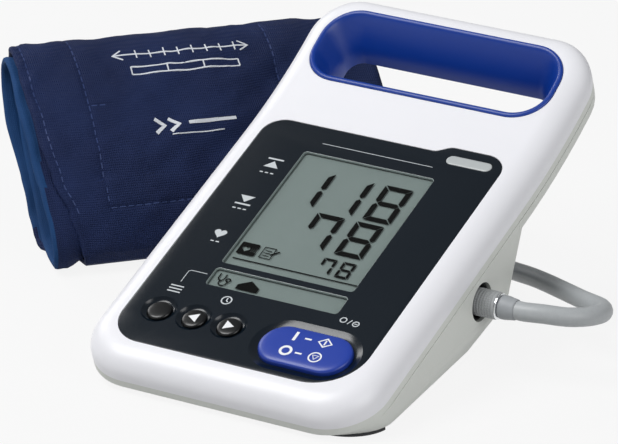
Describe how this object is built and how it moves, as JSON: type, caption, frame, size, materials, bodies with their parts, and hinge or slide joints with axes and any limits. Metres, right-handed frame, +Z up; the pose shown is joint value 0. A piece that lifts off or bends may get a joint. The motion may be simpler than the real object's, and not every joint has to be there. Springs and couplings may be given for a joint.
{
  "type": "professional blood pressure monitor",
  "caption": "Sloped desktop blood pressure monitor with a carrying handle, display, keys, side air socket with hose and a rolled arm cuff lying beside it.",
  "frame": {"origin": "on the table, under the middle of the case and centred on its middle foot", "axes": "+X to the right of the display, +Y to the back where the handle is, +Z up"},
  "size_m": [0.2874, 0.2834, 0.1008],
  "materials": {
    "white_shell": "fine satin moulding",
    "grey_shell": "fine spark texture",
    "grip_blue": "smooth soft grip",
    "panel_black": "gloss",
    "clear_window": "clear",
    "lcd": "reflective liquid crystal",
    "inner_white": "plain",
    "key_blue": "satin",
    "mat_rubber": "matt",
    "lamp_clear": "diffusing",
    "board": "solder resist",
    "dark_parts": "matt",
    "steel": "plain",
    "clear_tube": "soft tube",
    "foot_rubber": "matt",
    "battery": "shrink sleeve",
    "contact": "plated",
    "hose_grey": "smooth matt",
    "collar_grey": "satin",
    "bright_ring": "bright",
    "sleeve_grey": "satin",
    "cuff_cloth": "woven",
    "bladder": "matt"
  },
  "bodies": {
    "case": {"front_cover": "white_shell", "rear_cover": "grey_shell", "handle_liner": "grip_blue", "display_panel": "panel_black", "display_window": "clear_window", "lcd_glass": "lcd", "lcd_frame": "inner_white", "key_mat": "mat_rubber", "pulse_lamp": "lamp_clear", "main_board": "board", "pressure_sensor": "dark_parts", "buzzer": "dark_parts", "board_screws": "steel", "pump": "steel", "pump_cradle": "dark_parts", "exhaust_valve": "dark_parts", "leak_valve": "inner_white", "air_lines": "clear_tube", "air_socket": "grey_shell", "socket_ring": "foot_rubber", "power_jack": "dark_parts", "battery_pack": "battery", "battery_contacts": "contact", "front_feet": "foot_rubber", "rear_feet": "foot_rubber", "middle_foot": "foot_rubber", "case_screws": "steel", "plug_body": "hose_grey", "plug_ring": "bright_ring", "plug_sleeve": "sleeve_grey", "hose": "hose_grey", "hose_coil": "hose_grey", "hose_tail": "hose_grey", "cuff_roll": "cuff_cloth", "cuff_bladder": "bladder", "cuff_port": "dark_parts"},
    "mode_key": {"mode_key": "panel_black"},
    "back_key": {"back_key": "panel_black"},
    "next_key": {"next_key": "panel_black"},
    "start_stop_key": {"start_stop_key": "key_blue"},
    "battery_cover": {"battery_cover": "grey_shell"},
    "plug_collar": {"plug_collar": "collar_grey"}
  },
  "joints": [
    {"name": "mode_key_press", "type": "slide", "parent": "case", "child": "mode_key", "axis": [0, 0.3746, -0.9272], "range_m": [0, 0.001], "stiffness_N_per_m": 900},
    {"name": "back_key_press", "type": "slide", "parent": "case", "child": "back_key", "axis": [0, 0.3746, -0.9272], "range_m": [0, 0.001], "stiffness_N_per_m": 900},
    {"name": "next_key_press", "type": "slide", "parent": "case", "child": "next_key", "axis": [0, 0.3746, -0.9272], "range_m": [0, 0.001], "stiffness_N_per_m": 900},
    {"name": "start_stop_key_press", "type": "slide", "parent": "case", "child": "start_stop_key", "axis": [0, 0.3746, -0.9272], "range_m": [0, 0.001], "stiffness_N_per_m": 1400},
    {"name": "battery_cover_slide", "type": "slide", "parent": "case", "child": "battery_cover", "axis": [0, 1, 0], "range_m": [0, 0.04]},
    {"name": "plug_collar_turn", "type": "hinge", "parent": "case", "child": "plug_collar", "pos_m": [0.0625, 0.03648, 0.02717], "axis": [1, 0, 0], "range_deg": [0, 90]}
  ]
}
